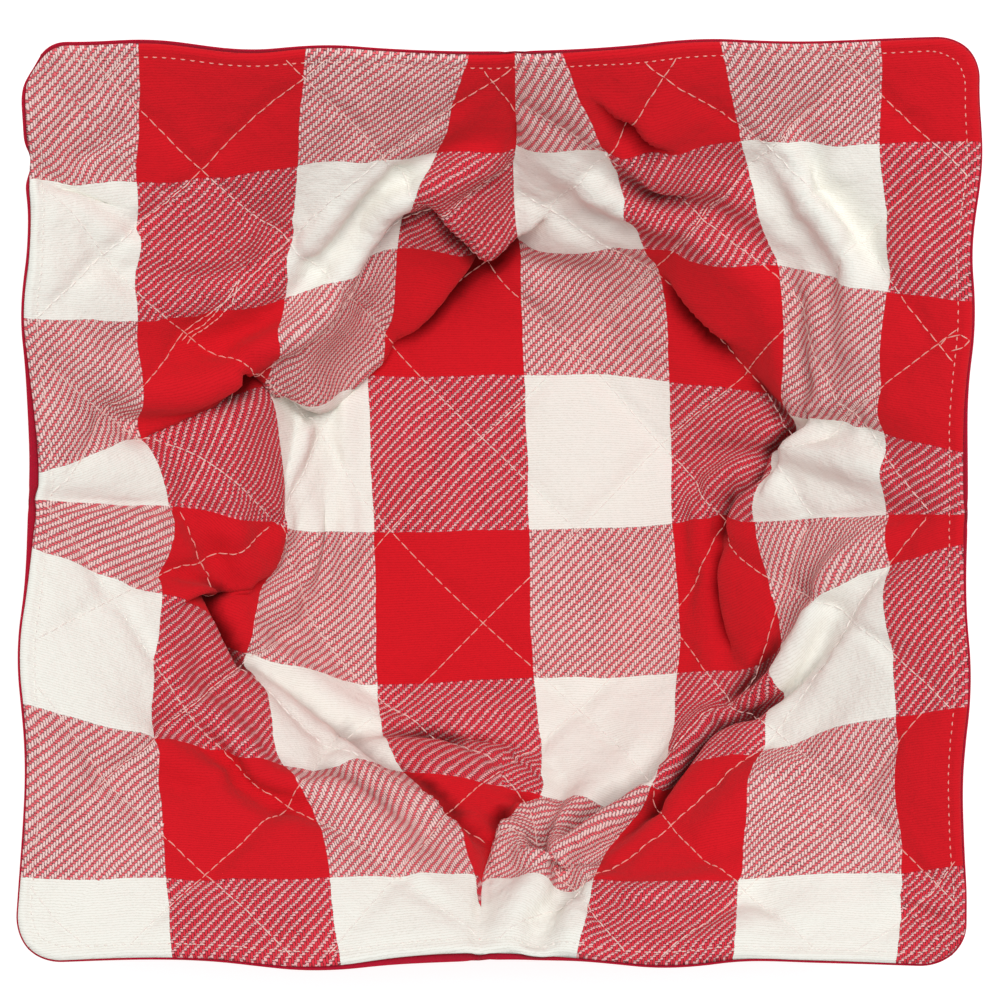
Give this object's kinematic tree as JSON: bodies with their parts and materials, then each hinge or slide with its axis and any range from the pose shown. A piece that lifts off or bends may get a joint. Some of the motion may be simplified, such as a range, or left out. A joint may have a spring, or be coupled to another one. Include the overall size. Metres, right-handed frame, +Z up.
{
  "type": "bowl cozy",
  "caption": "Quilted square bowl cozy, darted on all sides to stand open as a soft bowl with spread corners, checked inside and plain outside.",
  "frame": {"origin": "under the middle of the part's box, on the surface that it stands on", "axes": "+Z up out of the bowl, +X to the right and +Y to the top of the plan view"},
  "size_m": [0.1964, 0.1904, 0.0723],
  "materials": {
    "check_flannel": "soft brushed red and off-white buffalo check in a twill weave, quilted in diamonds",
    "crimson_cotton": "plain matt crimson cotton"
  },
  "bodies": {
    "root": {"inner_panel": "check_flannel", "outer_panel": "crimson_cotton"}
  },
  "joints": []
}
